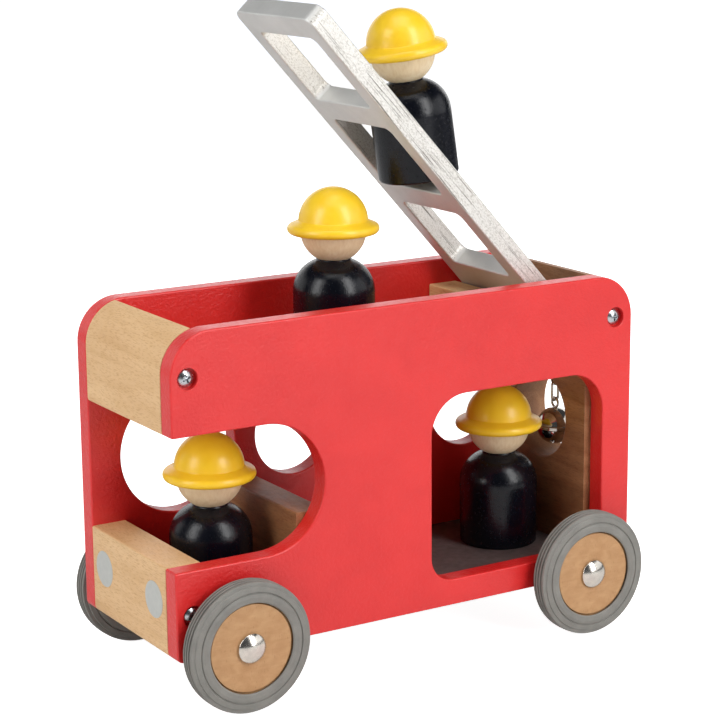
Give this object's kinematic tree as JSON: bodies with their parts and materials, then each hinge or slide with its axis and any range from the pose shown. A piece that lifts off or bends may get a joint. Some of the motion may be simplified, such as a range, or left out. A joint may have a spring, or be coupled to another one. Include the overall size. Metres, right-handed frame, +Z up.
{
  "type": "toy fire engine",
  "caption": "Wooden toy fire engine with painted side panels, rubber-tyred wheels, a raised tilting ladder, a small swinging bell and removable peg firemen.",
  "frame": {"origin": "on the ground, under the middle of the body", "axes": "+Z up, the front faces -Y, the vehicle's left side faces +X"},
  "size_m": [0.116, 0.23, 0.2833],
  "materials": {
    "red_paint": "satin red paint on wood, slightly brushed, with eased edges",
    "beech": "satin clear-varnished beech with short dark flecks",
    "brown_wood": "clear-varnished brown wood with fine grain",
    "floor_wood": "plain greyish board",
    "wheel_wood": "satin clear-varnished beech",
    "grey_rubber": "matte grey rubber",
    "silver_paint": "silver paint on wood, grain showing on the cut edges",
    "zinc_steel": "zinc-plated steel",
    "nickel_cap": "polished nickel",
    "bell_nickel": "polished nickel",
    "grey_plastic": "plain grey plastic",
    "blue_black_paint": "gloss blue-black paint on turned wood",
    "head_wood": "clear-varnished pale wood with fine upright grain",
    "yellow_paint": "gloss yellow paint on turned wood",
    "dowel_wood": "plain dowel wood"
  },
  "bodies": {
    "root": {"left_side_panel": "red_paint", "right_side_panel": "red_paint", "front_top_block": "beech", "front_lower_block": "beech", "floor_board": "floor_wood", "upper_deck": "beech", "cab_back_board": "brown_wood", "ladder_stop_block": "beech", "rear_board": "brown_wood", "panel_screws": "zinc_steel", "board_dowels": "dowel_wood", "stop_block_dowels": "dowel_wood", "front_axle": "zinc_steel", "rear_axle": "zinc_steel", "axle_caps": "nickel_cap", "wheel_spacers": "grey_plastic", "ladder_pivot_pin": "zinc_steel", "bell_screw_eye": "bell_nickel"},
    "front_left_wheel": {"front_left_disc": "wheel_wood", "front_left_tyre": "grey_rubber"},
    "front_right_wheel": {"front_right_disc": "wheel_wood", "front_right_tyre": "grey_rubber"},
    "rear_left_wheel": {"rear_left_disc": "wheel_wood", "rear_left_tyre": "grey_rubber"},
    "rear_right_wheel": {"rear_right_disc": "wheel_wood", "rear_right_tyre": "grey_rubber"},
    "ladder": {"ladder": "silver_paint"},
    "bell_link": {"bell_link": "bell_nickel"},
    "bell": {"bell_upper_half": "bell_nickel", "bell_lower_half": "bell_nickel"},
    "bell_pellet": {"bell_pellet": "bell_nickel"},
    "cab_fireman": {"cab_fireman_body": "blue_black_paint", "cab_fireman_neck_pin": "dowel_wood", "cab_fireman_head": "head_wood", "cab_fireman_helmet": "yellow_paint"},
    "deck_fireman": {"deck_fireman_body": "blue_black_paint", "deck_fireman_neck_pin": "dowel_wood", "deck_fireman_head": "head_wood", "deck_fireman_helmet": "yellow_paint"},
    "rear_fireman": {"rear_fireman_body": "blue_black_paint", "rear_fireman_neck_pin": "dowel_wood", "rear_fireman_head": "head_wood", "rear_fireman_helmet": "yellow_paint"},
    "ladder_fireman": {"ladder_fireman_body": "blue_black_paint", "ladder_fireman_neck_pin": "dowel_wood", "ladder_fireman_head": "head_wood", "ladder_fireman_helmet": "yellow_paint"}
  },
  "joints": [
    {"name": "front_left_wheel_spin", "type": "hinge", "parent": "root", "child": "front_left_wheel", "pos_m": [0.05, -0.087, 0.028], "axis": [1, 0, 0], "continuous": true},
    {"name": "front_right_wheel_spin", "type": "hinge", "parent": "root", "child": "front_right_wheel", "pos_m": [-0.05, -0.087, 0.028], "axis": [1, 0, 0], "continuous": true},
    {"name": "rear_left_wheel_spin", "type": "hinge", "parent": "root", "child": "rear_left_wheel", "pos_m": [0.05, 0.087, 0.028], "axis": [1, 0, 0], "continuous": true},
    {"name": "rear_right_wheel_spin", "type": "hinge", "parent": "root", "child": "rear_right_wheel", "pos_m": [-0.05, 0.087, 0.028], "axis": [1, 0, 0], "continuous": true},
    {"name": "ladder_tilt", "type": "hinge", "parent": "root", "child": "ladder", "pos_m": [0, 0.08733, 0.14053], "axis": [-1, 0, 0], "range_deg": [0, 55]},
    {"name": "bell_link_swing", "type": "hinge", "parent": "root", "child": "bell_link", "pos_m": [0, 0.1057, 0.1016], "axis": [1, 0, 0], "range_deg": [-15, 40]},
    {"name": "bell_swing", "type": "hinge", "parent": "bell_link", "child": "bell", "pos_m": [0, 0.1057, 0.09385], "axis": [0, 1, 0], "range_deg": [-45, 45]},
    {"name": "bell_pellet_roll", "type": "hinge", "parent": "bell", "child": "bell_pellet", "pos_m": [0, 0.1057, 0.0819], "axis": [0, 1, 0], "range_deg": [-60, 60]},
    {"name": "cab_fireman_slide", "type": "slide", "parent": "root", "child": "cab_fireman", "axis": [1, 0, 0], "range_m": [-0.019, 0.013]},
    {"name": "deck_fireman_lift", "type": "slide", "parent": "root", "child": "deck_fireman", "axis": [0, 0, 1], "range_m": [0, 0.032]},
    {"name": "rear_fireman_lift_out", "type": "slide", "parent": "root", "child": "rear_fireman", "axis": [0.756, -0.6426, 0.1247], "range_m": [0, 0.098]},
    {"name": "ladder_fireman_lift_out", "type": "slide", "parent": "ladder", "child": "ladder_fireman", "axis": [0, -0.1564, 0.9877], "range_m": [0, 0.08]}
  ]
}
